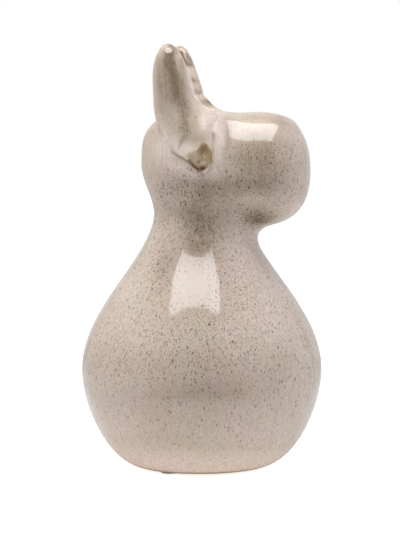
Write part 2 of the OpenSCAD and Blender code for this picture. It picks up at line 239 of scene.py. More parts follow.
class ReindeerSettings(bpy.types.PropertyGroup):
    body: PointerProperty(type=BodySizes, name="Body", description="Sizes of the body")
    head: PointerProperty(type=HeadSizes, name="Head", description="Sizes of the head")
    antler: PointerProperty(type=AntlerSizes, name="Antlers", description="Sizes of the antlers")
    ear: PointerProperty(type=EarSizes, name="Ears", description="Sizes of the ears")
    pad: PointerProperty(type=PadSizes, name="Felt pads", description="Sizes of the felt pads")
    looks: PointerProperty(type=GlazeColours, name="Colours", description="Colours of glaze, clay and felt")
    stage: PointerProperty(type=StageSizes, name="Stage", description="Camera and light")


def settings():
    return bpy.context.scene.reindeer


# Shapes of the clay

def smooth(t):
    t = np.clip(t, 0, 1)
    return t * t * (3 - 2 * t)


def bump(t):
    """A soft hump, 1 at 0 and falling off over about 1."""
    return np.exp(-np.square(t))


def soft_spot(x, z, at_x, at_z, reach_x, reach_z):
    """A soft round hump at a place."""
    return bump((x - at_x) / reach_x) * bump((z - at_z) / reach_z)


def powed(v, power):
    return np.sign(v) * np.abs(v) ** power


def blend(a, b, reach):
    """The smaller of two distances, rounded off over a reach."""
    near = np.maximum(reach - np.abs(a - b), 0) / reach
    return np.minimum(a, b) - near * near * reach / 4


def body_radius(body, z):
    up = np.clip((z - body.belly_z) / (body.neck_z - body.belly_z), 0, 1)
    down = np.clip((body.belly_z - z) / (body.belly_z - body.foot_z), 0, 1)
    upper = body.neck_r + (body.belly_r - body.neck_r) * (1 - up ** 2) ** 2
    lower = body.foot_r + (body.belly_r - body.foot_r) * (1 - down ** body.foot_full) ** body.foot_round
    return upper + lower - body.belly_r


def rounded_block(x, y, z, middle, size, tilt, roundness, across):
    """Distance to a rounded block with its own squareness across, along the line from its middle."""
    dx, dz = x - middle[0], z - middle[1]
    along = math.cos(tilt) * dx + math.sin(tilt) * dz
    up = math.cos(tilt) * dz - math.sin(tilt) * dx
    along, y_part, up = (np.abs(2 * d / s) for d, s in zip((along, y, up), size))
    powers = along ** roundness + (y_part ** across + up ** across) ** (roundness / across)
    return np.sqrt(dx * dx + y * y + dz * dz) * (1 - 1 / np.maximum(powers ** (1 / roundness), 1e-3))


def head_distance(x, y, z):
    """Skull, muzzle and neck as one blended distance, negative inside."""
    body, head = settings().body, settings().head
    skull = rounded_block(x, y, z, (head.skull_x, head.skull_z),
                          (head.skull_l, head.skull_w, head.skull_h), 0, head.roundness, head.roundness)
    muzzle = rounded_block(x, y, z, (head.muzzle_x, head.muzzle_z), (head.muzzle_l, head.muzzle_w, head.muzzle_h),
                           head.muzzle_tilt, head.roundness, head.muzzle_round)
    wall = body_radius(body, np.minimum(z, body.neck_z)) - np.hypot(x, y)
    neck = -blend(wall, head.neck_cap - z, head.neck_cap_blend)
    return blend(blend(skull, muzzle, head.brow_blend), neck, head.chin_blend)


def halve(inside, near, far, steps=34):
    """Searches between near and far for the place where inside turns false."""
    near, far = near.astype(float), far.astype(float)
    for _ in range(steps):
        middle = (near + far) / 2
        within = inside(middle)
        near, far = np.where(within, middle, near), np.where(within, far, middle)
    return (near + far) / 2


def head_rings(elevations, around, level):
    """Rings of points where the head's distance reaches a level, seen from its core."""
    head = settings().head
    e = elevations[:, None]
    t = np.linspace(0, 2 * np.pi, around, endpoint=False)[None]
    ray = np.stack(np.broadcast_arrays(np.cos(e) * np.cos(t), np.cos(e) * np.sin(t), np.sin(e)), -1)

    def inside(d):
        p = ray * d[..., None]
        return head_distance(p[..., 0], p[..., 1], p[..., 2] + head.core_z) < level

    zero = np.zeros(ray.shape[:2])
    found = ray * halve(inside, zero, zero + head.skull_l + head.muzzle_l)[..., None]
    return found + np.array([0, 0, head.core_z])


# Soft details seen from the side in mm: place along, height, reach along, reach up
DIP = (15.5, 144.9, 4.5, 5.8)
CHEEK = (32.8, 147.5, 3.2, 3)
NOSE = (40, 146, 5, 4)
SCOOP = (2.5, 147, 6, 8)
# Share of the tuck by which the antler's soft edge lies under the head's skin
SUNK = 0.12


def head_detail(points):
    """Adds the fold, dip and swelling of the muzzle, the ridge in front of the ear and the corner above the nose."""
    head = settings().head
    x, y, z = (points[..., i] / MM for i in range(3))
    flank, shoulder = (smooth((np.abs(y) - start) / 6) for start in (11, 5))
    # Places, heights and reaches in mm
    fold = bump((x - 12.4 - 1.8 * bump((z - 137) / 7)) / 1.5) * smooth((z - 122) / 7) * smooth((151 - z) / 4)
    ridge = bump((x - 9.6) / 1.3) * smooth((z - 125) / 5) * smooth((143 - z) / 16)
    side = flank * (head.ridge * ridge - head.fold * fold - head.dip * soft_spot(x, z, *DIP))
    side = side + head.cheek * shoulder * soft_spot(x, z, *CHEEK)
    lift = 0.7 * head.nose_corner * soft_spot(x, z, *NOSE) * bump(y / 16)
    return points + np.stack([lift, np.sign(y) * side, lift], -1)


def skin_y(x, z):
    """Half-width of the head at a place seen from the side, or NO_HEAD where there is none."""
    x, z = np.broadcast_arrays(x, z)
    zero = np.zeros(x.shape)
    y = halve(lambda d: head_distance(x, d, z) < 0, zero, zero + settings().head.skull_w)
    return np.where(head_distance(x, zero, z) < 0, y, NO_HEAD)


def antler_middle(u):
    a = settings().antler
    x = a.tip_x + (a.foot_x - a.tip_x) * (1 - u) ** a.lean
    y = (1 - u) ** 2 * a.foot_y + 2 * u * (1 - u) * a.bow_y + u * u * a.tip_y
    return x, y, a.foot_z + (a.tip_z - a.foot_z) * u


def antler_half(u, wide, tip):
    """Half a width of the antler: rounded lower end, straight taper, domed tip."""
    a = settings().antler
    low = np.clip(1 - u / a.wide_at, 0, 1)
    v = np.clip((u - a.wide_at) / (1 - a.wide_at), 0, 1)
    lower = wide / 2 * (1 - low ** a.foot_round) ** (1 / a.foot_round)
    upper = (wide + (tip - wide) * v) / 2 * np.sqrt(1 - v ** 4)
    return np.where(u < a.wide_at, lower, upper)


def antler_back(z):
    """Share of the half-width that is left behind the middle line, less near the lower end."""
    return 1 - settings().antler.heel * smooth((132.5 - z / MM) / 6.5)


def antler_spur(z):
    """Length of the spur at a height: longest on the skull, sweeping up into the front edge."""
    a = settings().antler
    rise = np.clip((z - a.spur_z) / a.spur_h, 0, 1)
    fade = smooth(1 - (a.spur_z - z) / a.spur_fade)
    return a.spur_l * fade * (1 - np.sqrt(1 - (1 - rise) ** 2))


def antler_on_head(y, skin, out):
    """Lays the antler's outer face over the head with a soft edge, and tucks its back under the skin."""
    a = settings().antler
    edge = skin + a.relief * np.maximum(out, 0) ** 1.6 - a.tuck * SUNK
    outer = -blend(-y, -edge, a.fillet)
    inner = np.maximum(y, skin - a.tuck)
    return np.where(skin == NO_HEAD, y, np.where(out > 0, outer, inner))


def antler_scoop(x, z, out):
    """Depth of the hollow above the ear at a place seen from the side."""
    return settings().antler.scoop * soft_spot(x / MM, z / MM, *SCOOP) * smooth(out / 0.4)


def antler_face_y(x, z):
    """Outer face of the antler's lower part at a place seen from the side."""
    a = settings().antler
    u = np.clip((z - a.foot_z) / (a.tip_z - a.foot_z), 1e-4, 1)
    middle_x, middle_y, _ = antler_middle(u)
    half_w = antler_half(u, a.wide, a.tip_wide) * np.where(x < middle_x, antler_back(z), 1)
    along = np.clip(np.abs(x - middle_x) / half_w, 0, 1) ** (a.square / 2)
    out = np.sqrt(1 - along ** 2)
    y = middle_y + antler_half(u, a.thick, a.tip_thick) * out ** (2 / a.square)
    return antler_on_head(y, skin_y(x, z), np.maximum(out, 1e-6)) - antler_scoop(x, z, out)


# Meshes, objects and node trees

def ring_mesh(name, rings, first, last):
    """Closed mesh over rings of equal count, from a first point to a last one, faces outwards."""
    rows, around = rings.shape[:2]
    points = np.concatenate([[first], rings.reshape(-1, 3), [last]])
    end = len(points) - 1
    here = np.arange(around)
    after = (here + 1) % around
    row = 1 + around * np.arange(rows - 1)[:, None]
    quads = np.stack(np.broadcast_arrays(row + here, row + after, row + around + after, row + around + here), -1)
    top = 1 + around * (rows - 1)
    faces = [(0, 1 + b, 1 + a) for a, b in zip(here.tolist(), after.tolist())]
    faces += [tuple(q) for q in quads.reshape(-1, 4).tolist()]
    faces += [(top + a, top + b, end) for a, b in zip(here.tolist(), after.tolist())]
    a, b, c = points[quads[..., 0]], points[quads[..., 1]], points[quads[..., 2]]
    if np.einsum("ijk,ijk->", a, np.cross(b, c)) < 0:
        faces = [f[::-1] for f in faces]
    mesh = bpy.data.meshes.new(name)
    mesh.from_pydata(points.tolist(), [], faces)
    mesh.polygons.foreach_set("use_smooth", np.ones(len(mesh.polygons), bool))
    mesh.set_sharp_from_angle(angle=SHARP_BEND)
    mesh.update()
    return mesh


def paint(mesh, name, values):
    """Stores one number for each point, for the glaze to read."""
    layer = mesh.attributes.new(name, "FLOAT", "POINT")
    layer.data.foreach_set("value", np.asarray(values, np.float32).ravel())


def place(name, mesh, slot, *nodes):
    """Makes a finished piece that stands for CAD nodes."""
    if not mesh.polygons:
        raise RuntimeError(name + " came out empty")
    piece = bpy.data.objects.new(name, mesh)
    bpy.context.scene.collection.objects.link(piece)
    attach(piece, "root")
    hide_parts(*nodes)


class Value:
    """A value in a node tree, for sums written as usual."""

    def __init__(self, socket):
        self.socket = socket

    def step(self, operation, *others):
        """One step of arithmetic with other values or numbers."""
        terms = dict(enumerate((self, *others)))
        return Value(node(self.socket.id_data, "ShaderNodeMath", terms, operation=operation).outputs[0])

    __add__ = __radd__ = partialmethod(step, "ADD")
    __mul__ = __rmul__ = partialmethod(step, "MULTIPLY")
    __sub__ = partialmethod(step, "SUBTRACT")
    __truediv__ = partialmethod(step, "DIVIDE")
    __pow__ = partialmethod(step, "POWER")
    __lt__ = partialmethod(step, "LESS_THAN")
    __gt__ = partialmethod(step, "GREATER_THAN")
    at_least = partialmethod(step, "MAXIMUM")

    def __rsub__(self, number):
        return self * -1.0 + number


def outputs(made):
    """All values that a node gives."""
    return [Value(socket) for socket in made.outputs]


def node(tree, kind, inputs=(), **options):
    """Adds a node. Inputs go by name or number and are values or sockets to link, or plain numbers."""
    made = tree.nodes.new(kind)
    for key, option in options.items():
        setattr(made, key, option)
    for key, given in dict(inputs).items():
        given = getattr(given, "socket", given)
        if isinstance(given, bpy.types.NodeSocket):
            tree.links.new(given, made.inputs[key])
        else:
            made.inputs[key].default_value = given
    return made


def vectors(tree, operation, *terms):
    """One step of arithmetic on vectors that gives a vector."""
    return node(tree, "ShaderNodeVectorMath", dict(enumerate(terms)), operation=operation).outputs[0]


def measured(tree, operation, *terms):
    """One step of arithmetic on vectors that gives a value."""
    return Value(node(tree, "ShaderNodeVectorMath", dict(enumerate(terms)), operation=operation).outputs["Value"])


def mixed(tree, share, a, b, mode="MIX"):
    """One colour laid over another."""
    return node(tree, "ShaderNodeMix", {0: share, 6: a, 7: b}, data_type="RGBA", blend_type=mode).outputs[2]


def ranged(value, low, high, to_low=0.0, to_high=1.0):
    """A value moved softly from one range to another."""
    inputs = {0: value, 1: low, 2: high, 3: to_low, 4: to_high}
    return Value(node(value.socket.id_data, "ShaderNodeMapRange", inputs, interpolation_type="SMOOTHSTEP").outputs[0])


def noise(tree, vector, scale, detail=2.0, rough=0.5):
    inputs = {"Vector": vector, "Scale": scale, "Detail": detail, "Roughness": rough}
    return Value(node(tree, "ShaderNodeTexNoise", inputs).outputs[0])


def new_group(name, kind, inputs, made):
    """An empty node group with named sockets, given as name: (type, default), and its inputs by name."""
    tree = bpy.data.node_groups.new(name, kind)
    for side, sockets in (("INPUT", inputs), ("OUTPUT", made)):
        for socket, (form, default) in sockets.items():
            item = tree.interface.new_socket(socket, in_out=side, socket_type="NodeSocket" + form)
            if default is not None:
                item.default_value = default
    return tree, {socket.name: Value(socket) for socket in tree.nodes.new("NodeGroupInput").outputs}


# Finishes

# Layers of specks: cells in a metre, greatest radius as a share of a cell, share of cells with one, darkness
SPECKS = ((640, 0.2, 0.55, 0.85), (900, 0.26, 0.75, 0.7), (1250, 0.31, 0.8, 0.6), (1700, 0.34, 0.8, 0.5),
          (2300, 0.36, 0.7, 0.45))
# Soft edge of a speck as a share of a cell, how much specks are drawn out, and the ends of the glaze's tint
SPECK_EDGE, SPECK_FLOW = 0.11, (1, 1, 0.46)
PINKER, GREENER = (1.02, 0.985, 1.0, 1), (0.985, 1.0, 0.965, 1)


def iron_specks():
    """Shader group: dark iron specks of mixed size, drawn out a little downwards."""
    tree, given = new_group("Iron specks", "ShaderNodeTree", {"Position": ("Vector", None), "Amount": ("Float", 1.0)},
                            {"Mask": ("Float", None)})
    flow = vectors(tree, "MULTIPLY", given["Position"], SPECK_FLOW)
    force = given["Amount"] * 0.35 + 0.7
    masks = []
    for cells, size, chance, depth in SPECKS:
        cell = node(tree, "ShaderNodeTexVoronoi", {"Vector": flow, "Scale": cells, "Randomness": 1.0}).outputs
        big, rare, dark = outputs(node(tree, "ShaderNodeSeparateColor", {0: cell["Color"]}))
        radius = big * (size * 0.75) + size * 0.25
        fade = {0: cell["Distance"], 1: radius, 2: radius + SPECK_EDGE, 3: 1.0, 4: 0.0}
        dot = Value(node(tree, "ShaderNodeMapRange", fade).outputs[0])
        picked = rare < given["Amount"] * chance
        masks.append(dot * picked * (force * (dark * (depth * 0.7) + depth * 0.3)))
    strongest = masks[0]
    for mask in masks[1:]:
        strongest = strongest.at_least(mask)
    node(tree, "NodeGroupOutput", {"Mask": strongest})
    return tree


def glaze_flow():
    """Shader group: slow clouds, downward runs, fine grain and tint of the glaze, and its ripple."""
    names = ("Clouds", "Runs", "Grain", "Tint", "Ripple")
    tree, given = new_group("Glaze flow", "ShaderNodeTree", {"Position": ("Vector", None)},
                            {name: ("Float", None) for name in names})
    position = given["Position"]
    streaks, runs, tints = (vectors(tree, "MULTIPLY", position, (1, 1, down)) for down in (0.14, 0.16, 0.6))
    grain = (noise(tree, streaks, 800, 2.0) + noise(tree, position, 900, 3.0, 0.6)) * 0.5
    node(tree, "NodeGroupOutput", dict(zip(names, (
        noise(tree, position, 38, 3.0), noise(tree, runs, 260, 4.0, 0.65), grain, noise(tree, tints, 70, 2.0),
        noise(tree, position, 95, 1.0)))))
    return tree


def shared(maker):
    """The one copy of a shared shader group."""
    name = maker.__name__.replace("_", " ").capitalize()
    return bpy.data.node_groups.get(name) or maker()


def new_material(name):
    """An empty material, its tree and the place on the piece."""
    material = bpy.data.materials.new(name)
    material.use_nodes = True
    tree = material.node_tree
    tree.nodes.clear()
    return material, tree, node(tree, "ShaderNodeTexCoord").outputs["Object"]


def surface(tree, tone, rough, relief, more=()):
    """Ends a material with its colour, roughness and relief, given as height, strength and depth."""
    bumps = node(tree, "ShaderNodeBump", dict(zip(("Height", "Strength", "Distance"), relief))).outputs[0]
    inputs = {"Base Color": tone, "Roughness": rough, "Normal": bumps, **dict(more)}
    node(tree, "ShaderNodeOutputMaterial", {0: node(tree, "ShaderNodeBsdfPrincipled", inputs).outputs[0]})


def painted(tree, name):
    return Value(node(tree, "ShaderNodeAttribute", attribute_name=name, attribute_type="GEOMETRY").outputs["Fac"])


def rgba(values):
    return (*values, 1.0)


def glazed(name, pooled, broken):
    """A glossy speckled glaze that follows what is painted on the piece."""
    looks = settings().looks
    material, tree, position = new_material(name)
    flow = node(tree, "ShaderNodeGroup", {"Position": position}, node_tree=shared(glaze_flow))
    clouds, runs, grain, tint, ripple = outputs(flow)
    # What is painted as thick glaze also holds painted shade, and what is painted as thin glaze holds painted light
    pool_and_shade, thin, brown, specks = (painted(tree, layer) for layer in ("pool_and_shade", "thin", "broken", "specks"))
    uneven = runs * 1.5 + (clouds * 0.8 - 2.15) + grain * 4.0
    thick = node(tree, "ShaderNodeClamp", {0: pool_and_shade * uneven}).outputs[0]
    pale = ranged(clouds, 0.35, 0.7) * 0.3
    tone = mixed(tree, pale.at_least(thin), rgba(looks.glaze), rgba(looks.thin))
    tone = mixed(tree, thick, tone, rgba(pooled))
    tone = mixed(tree, brown, tone, rgba(broken))
    shade = ranged(grain, 0.35, 0.65, 0.9, 1.07)
    shade = node(tree, "ShaderNodeCombineColor", {0: shade, 1: shade, 2: shade}).outputs[0]
    tone = mixed(tree, 1.0, tone, shade, "MULTIPLY")
    tone = mixed(tree, 1.0, tone, mixed(tree, ranged(tint, 0.35, 0.65), PINKER, GREENER), "MULTIPLY")
    dots = node(tree, "ShaderNodeGroup", {"Position": position, "Amount": specks}, node_tree=shared(iron_specks))
    tone = mixed(tree, dots.outputs["Mask"], tone, rgba(looks.speck))
    surface(tree, tone, thin * 0.3 + (grain * 0.06 + 0.04), (ripple + grain * 0.04, 0.25, 0.6 * MM),
            {"Specular IOR Level": thin * -0.3 + 0.5})
    return material


def bare_clay():
    """Unglazed fired clay with grog."""
    looks = settings().looks
    material, tree, position = new_material("bare_clay")
    grog, clouds = noise(tree, position, 1400, 4.0, 0.65), noise(tree, position, 90, 2.0)
    pale = [min(v * 1.25, 1) for v in looks.clay]
    tone = mixed(tree, ranged(clouds, 0.3, 0.7), rgba(looks.clay), rgba(pale))
    tone = mixed(tree, ranged(grog, 0.58, 0.72, 0.0, 0.7), tone, rgba(looks.broken))
    surface(tree, tone, ranged(grog, 0.2, 0.8, 0.75, 0.95), (grog, 0.5, 0.3 * MM))
    return material


def wool_felt():
    """Grey pressed felt with loose fibres."""
    looks = settings().looks
    material, tree, position = new_material("wool_felt")
    fibres, clouds = noise(tree, position, 2600, 4.0, 0.7), noise(tree, position, 420, 2.0)
    pale, dark = [min(v * 1.7 + 0.02, 1) for v in looks.felt], [v * 0.6 for v in looks.felt]
    tone = mixed(tree, ranged(fibres, 0.35, 0.7), rgba(looks.felt), rgba(pale))
    tone = mixed(tree, ranged(clouds, 0.3, 0.7, 0.0, 0.35), tone, rgba(dark))
    surface(tree, tone, ranged(fibres, 0.2, 0.8, 0.85, 1.0), (fibres, 0.8, 0.3 * MM))
    return material


def finish(maker, *values):
    """The one copy of a material, made on first use."""
    name = values[0] if values else maker.__name__
    return bpy.data.materials.get(name) or maker(*values)


# Geometry Nodes

def named(sizes):
    """A group's sizes by the names that a user sees."""
    shown = sizes.bl_rna.properties
    return {shown[key].name: getattr(sizes, key) for key in sizes.__annotations__}


def shape_tree(name, sizes, *materials):
    """An empty geometry tree, and its inputs: a group's sizes, then materials."""
    inputs = {key: ("Int" if isinstance(size, int) else "Float", size) for key, size in named(sizes).items()}
    inputs.update({key: ("Material", None) for key in materials})
    tree, given = new_group(name, "GeometryNodeTree", inputs, {"Shape": ("Geometry", None)})
    return tree, [given[key] for key in inputs]


def run_tree(name, tree, values):
    """Runs a Geometry Nodes tree on an empty object and gives back the plain mesh."""
    holder = bpy.data.objects.new(name + "_holder", bpy.data.meshes.new(name + "_empty"))
    bpy.context.scene.collection.objects.link(holder)
    modifier = holder.modifiers.new("Shape", "NODES")
    modifier.node_group = tree
    for item in tree.interface.items_tree:
        if item.in_out == "INPUT" and item.name in values:
            modifier[item.identifier] = values[item.name]
    graph = bpy.context.evaluated_depsgraph_get()
    mesh = bpy.data.meshes.new_from_object(holder.evaluated_get(graph), depsgraph=graph)
    holder.modifiers.remove(modifier)
    bpy.data.objects.remove(holder)
    mesh.name = name
    return mesh


def pear_tree():
    """Geometry tree: the body turned from its outline, closed by its inside, floor and foot ring."""
    tree, (belly_r, belly_z, foot_r, foot_z, foot_ring, foot_hollow, neck_r, neck_z, seam_z, wall, floor_t, vent_r,
           full, bend, around, rows_up, glazed_all, bare) = shape_tree("Pear body", settings().body, "Glaze", "Clay")
    spot = node(tree, "GeometryNodeInputPosition").outputs[0]
    across, along, height = outputs(node(tree, "ShaderNodeSeparateXYZ", {0: spot}))
    turn, along = across * (2 * math.pi) + math.pi, along + 0.5

    def outline(v):
        """Radius and height at a share of the way from the foot up to the seam."""
        t = v * 2.0 - 1.0
        under = ((t * -1.0).at_least(0.0) * (math.pi / 2)).step("SINE")
        high = t.at_least(0.0) * (seam_z - belly_z)
        up = high / (neck_z - belly_z)
        upper = neck_r + (belly_r - neck_r) * (1.0 - up * up) ** 2.0
        lower = foot_r + (belly_r - foot_r) * (1.0 - under ** full).at_least(0.0) ** bend
        return upper + lower - belly_r, belly_z + (under * (foot_z - belly_z) + high)

    def turned(rows, r, z):
        """One strip of the surface, turned round the axis."""
        inputs = {"Size X": 1.0, "Size Y": 1.0, "Vertices X": around + 1.0, "Vertices Y": rows}
        sheet = node(tree, "GeometryNodeMeshGrid", inputs).outputs[0]
        point = node(tree, "ShaderNodeCombineXYZ", {0: r * turn.step("COSINE"), 1: r * turn.step("SINE"), 2: z})
        return node(tree, "GeometryNodeSetPosition", {"Geometry": sheet, "Position": point.outputs[0]}).outputs[0]

    def between(rows, a, b):
        """One straight strip between two points of the outline."""
        return turned(rows, *(along * (q - p) + p for p, q in zip(a, b)))

    ring_r, hollow_z = foot_r - foot_ring, foot_z + foot_hollow
    floor_z = hollow_z + floor_t
    seam_r, top_z = outline(along * 0.0 + 1.0)
    inside_r, inside_z = outline(1.0 - along)
    strips = (
        between(4, (vent_r, hollow_z), (ring_r, hollow_z)),
        between(2, (ring_r, hollow_z), (ring_r, foot_z)),
        between(5, (ring_r, foot_z), (foot_r, foot_z)),
        turned(rows_up + 1.0, *outline(along)),
        between(2, (seam_r, top_z), (seam_r - wall, top_z)),
        turned(INSIDE_ROWS, inside_r - wall, inside_z.at_least(floor_z)),
        between(4, (foot_r - wall, floor_z), (vent_r, floor_z)),
        between(3, (vent_r, floor_z), (vent_r, hollow_z)))
    joined = node(tree, "GeometryNodeJoinGeometry")
    for strip in strips:
        tree.links.new(strip, joined.inputs[0])
    crisp = Value(node(tree, "GeometryNodeInputMeshEdgeAngle").outputs[0]) > FOOT_BEND
    below = height < hollow_z + 1e-5
    underside = below * (measured(tree, "LENGTH", vectors(tree, "MULTIPLY", spot, (1, 1, 0))) < foot_r)
    whole = joined.outputs[0]
    for kind, inputs, options in (
            ("MergeByDistance", {"Distance": WELD}, {}), ("FlipFaces", {}, {}),
            ("SetShadeSmooth", {"Shade Smooth": True}, {}),
            ("SetShadeSmooth", {"Selection": crisp, "Shade Smooth": False}, {"domain": "EDGE"}),
            ("SetMaterial", {"Material": glazed_all}, {}),
            ("SetMaterial", {"Selection": underside, "Material": bare}, {})):
        whole = node(tree, "GeometryNode" + kind, {0: whole, **inputs}, **options).outputs[0]
    node(tree, "NodeGroupOutput", {0: whole})
    return tree


def pads_tree():
    """Geometry tree: felt dots set out on a circle."""
    tree, (number, ring_r, pad_r, thick, felt) = shape_tree("Felt pads", settings().pad, "Felt")
    spots = node(tree, "GeometryNodeMeshCircle", {"Vertices": number, "Radius": ring_r}).outputs[0]
    disc = node(tree, "GeometryNodeMeshCylinder", {
        "Vertices": PAD_FACES, "Side Segments": 2, "Radius": pad_r, "Depth": thick}).outputs[0]
    lift = node(tree, "ShaderNodeCombineXYZ", {2: thick * 0.5}).outputs[0]
    disc = node(tree, "GeometryNodeSetPosition", {"Geometry": disc, "Offset": lift}).outputs[0]
    pads = node(tree, "GeometryNodeInstanceOnPoints", {"Points": spots, "Instance": disc}).outputs[0]
    pads = node(tree, "GeometryNodeRealizeInstances", {0: pads}).outputs[0]
    pads = node(tree, "GeometryNodeSetMaterial", {"Geometry": pads, "Material": felt}).outputs[0]
    node(tree, "NodeGroupOutput", {0: pads})
    return tree


# Where the glaze lies thick on body and head, with painted shade under the muzzle and over the top of the body's
# highlight and a dark band of painted reflection low on the belly, as soft spots seen from the side in mm:
# place along, height, reach along, reach up, strength
POOLED_AND_PAINTED_SHADE = (
    (28, 136, 11, 5, 0.25), (21.5, 132.5, 4, 4, 0.3), (31, 132.5, 3, 4, 0.2), (34.5, 145.5, 4, 3, 0.35),
    (11, 117, 5, 4, 0.3), (28, 126, 12.5, 7, 0.45), (37.5, 141, 4, 6, 0.25), (25, 147, 12, 1.6, 0.3),
    (14.4, 139.5, 1.2, 5, 0.45), (22, 119.5, 14, 2.8, 0.4), (25, 104.7, 6.5, 3.6, 0.95), (20, 109, 6, 2.5, 0.25),
    (3.5, 102, 8, 9, 0.8), (1, 91, 11, 6, 0.25), (-12, 86, 4, 7, 0.3), (-4, 108.5, 6, 3, 0.3),
    (4.5, 116, 4, 4.5, 0.4), (-4, 119, 8, 5, 0.22), (-12, 115, 5, 7, 0.15), (4, 80, 13, 17, 0.2),
    (7, 47, 18, 14, 0.15), (8, 37, 14, 6, 0.2), (0, 34, 90, 8, 0.1), (10.5, 145, 3.5, 4.5, 0.35))
# Where it lies thin, with painted light that lifts the shade under and beside the antler and the ear
THINNED_AND_PAINTED_LIGHT = (
    (-16, 131, 8, 9, 0.3), (10.8, 134.5, 2.8, 7.5, 0.95), (-11.5, 136, 5, 7, 0.75), (-1.5, 126.8, 7, 4, 0.9),
    (8, 125, 3, 4, 0.4), (3, 123.3, 7, 2.5, 0.4), (12, 137, 1.8, 3, 0.3), (10, 145, 2.7, 4.5, 0.8),
    (24, 114, 8, 2.5, 0.2), (43, 122, 5, 14, 0.25), (40, 108, 6, 5, 0.35), (-17, 97, 6, 12, 0.45),
    (19, 96, 7, 12, 0.6), (-26, 76, 9, 12, 0.4), (34, 76, 9, 12, 0.4), (0, 59, 90, 9, 0.25))
# Painted light on the antler: a painted sheen in the hollow above the ear and paler glaze along the shaded lower rim
ANTLER_PAINTED_LIGHT = ((4.6, 147, 3.2, 6, 0.4), (-4.5, 133.8, 7.5, 4, 1.0), (-11.5, 140, 3, 7, 0.5))
# Where it is a little browner
WARMED = (
    (27, 136, 13, 9, 0.085), (24, 134, 9, 6, 0.05), (22, 113, 13, 6, 0.06), (-16, 138, 8, 12, 0.05),
    (9.8, 137, 3, 6, 0.09), (0, 15, 45, 15, 0.04))
# Where it holds more or fewer specks; the fewer specks under the highlights on muzzle and body are a painted
# highlight
SPECKLED = (
    (-5, 116, 9, 4.5, 2.1), (25, 141, 12, 4.5, -1.2), (2, 104, 9, 10, 0.7), (26, 124, 14, 12, 0.5),
    (24.5, 104.5, 5, 3, 2.8), (4, 66, 24, 26, 0.5), (1, 79, 9, 11, -1.35), (-13, 87, 4.5, 9, 1.5),
    (16, 83, 6, 9, 0.6), (6, 66, 14, 8, 0.2), (25, 88, 6, 12, -0.5), (10.2, 136, 4, 10, -0.9),
    (-16, 133, 10, 10, -0.85), (44, 128, 7, 14, -0.35), (6, 149, 8, 8, -0.6))
# Outline of the dark glaze in the ear and of the brown arch at its top, as shares of its half-width and half-height
EAR_SPADE = (
    (-0.2, 0.4), (-0.1, 0.57), (-0.03, 0.71), (0.08, 0.82), (0.22, 0.89), (0.39, 0.89), (0.5, 0.8), (0.55, 0.62),
    (0.62, 0.46), (0.76, 0.34), (0.94, 0.18), (1.02, -0.06), (0.9, -0.32), (0.72, -0.53), (0.52, -0.68), (0.23, -0.9),
    (0.12, -0.95), (0, -0.86), (-0.4, -0.68), (-0.64, -0.5), (-0.74, -0.36), (-0.9, 0.02), (-0.78, 0.13),
    (-0.5, 0.26), (-0.36, 0.33))
EAR_ARCH = (
    (-0.2, 0.36), (-0.1, 0.57), (-0.03, 0.71), (0.08, 0.82), (0.22, 0.89), (0.39, 0.89), (0.5, 0.8), (0.55, 0.62),
    (0.58, 0.36), (0.35, 0.2), (0.1, 0.2))
# A painted shadow line, laid as thick glaze, along the ear's lower-left edge
EAR_EDGE = ((-0.74, -0.32), (-0.4, -0.66), (-0.01, -0.92))
# Soft spots of glaze in the ear: brown tail, pale strip, cream patch, brown spot, dot and dark side,
# each with place along and up and reach along and up, as shares of the ear's half-width and half-height
EAR_SPOTS = ((0.08, -0.08, 0.25, 0.36), (0.31, 0.02, 0.1, 0.17), (0.3, -0.45, 0.32, 0.16), (0.22, -0.78, 0.3, 0.19),
             (-0.09, -0.39, 0.12, 0.12), (0.85, -0.1, 0.16, 0.3))
# Lines of thick glaze and painted shade along the antler's lower rim and front edge and under the ear, with bends as
# for STREAK
CREASES = (((-9, 132.7, 0.4, 0.1), (-6, 131.3, 0.45, 0.3), (-4.2, 130.6, 0.5, 0.3), (-2.5, 129.5, 0.55, 0.2),
            (-1.2, 128.7, 0.6, 0.45), (1, 126.9, 0.65, 0.7), (2.9, 125.5, 0.6, 0.5), (3.7, 124.9, 0.5, 0.2)),
           ((8, 141.6, 0.4, 0.2), (8.4, 139.6, 0.6, 0.5), (8.8, 137.1, 0.5, 0.15)),
           ((3.7, 124.6, 0.4, 0.3), (3.8, 122.9, 0.4, 0.2)))


def spotted(x, z, spots):
    """Adds up soft spots."""
    return sum(strength * soft_spot(x, z, *spot) for *spot, strength in spots)


def from_line(x, z, line):
    """Distance from a bent line, and the share of the way along it."""
    nearest, share = np.full(x.shape, 1e3), np.zeros(x.shape)
    for i, ((ax, az), (bx, bz)) in enumerate(zip(line, line[1:])):
        along = np.clip(((x - ax) * (bx - ax) + (z - az) * (bz - az)) / ((bx - ax) ** 2 + (bz - az) ** 2), 0, 1)
        away = np.hypot(x - ax - along * (bx - ax), z - az - along * (bz - az))
        share = np.where(away < nearest, (i + along) / (len(line) - 1), share)
        nearest = np.minimum(away, nearest)
    return nearest, share


def stroke(x, z, line):
    """A soft stroke along a bent line, with its width and strength taken from the bends."""
    away, share = from_line(x, z, tuple(bend[:2] for bend in line))
    at = share * (len(line) - 1)
    wide, strong = (np.interp(at, np.arange(len(line)), [bend[i] for bend in line]) for i in (2, 3))
    return strong * bump(away / wide)


def filled(x, z, outline, soft):
    """1 inside a closed outline and 0 outside, with a soft edge."""
    away, _ = from_line(x, z, outline + outline[:1])
    inside = np.zeros(x.shape, bool)
    for (ax, az), (bx, bz) in zip(outline, outline[1:] + outline[:1]):
        if az != bz:
            inside ^= ((az > z) != (bz > z)) & (x < (bx - ax) * (z - az) / (bz - az) + ax)
    return smooth(0.5 + np.where(inside, away, -away) / soft)


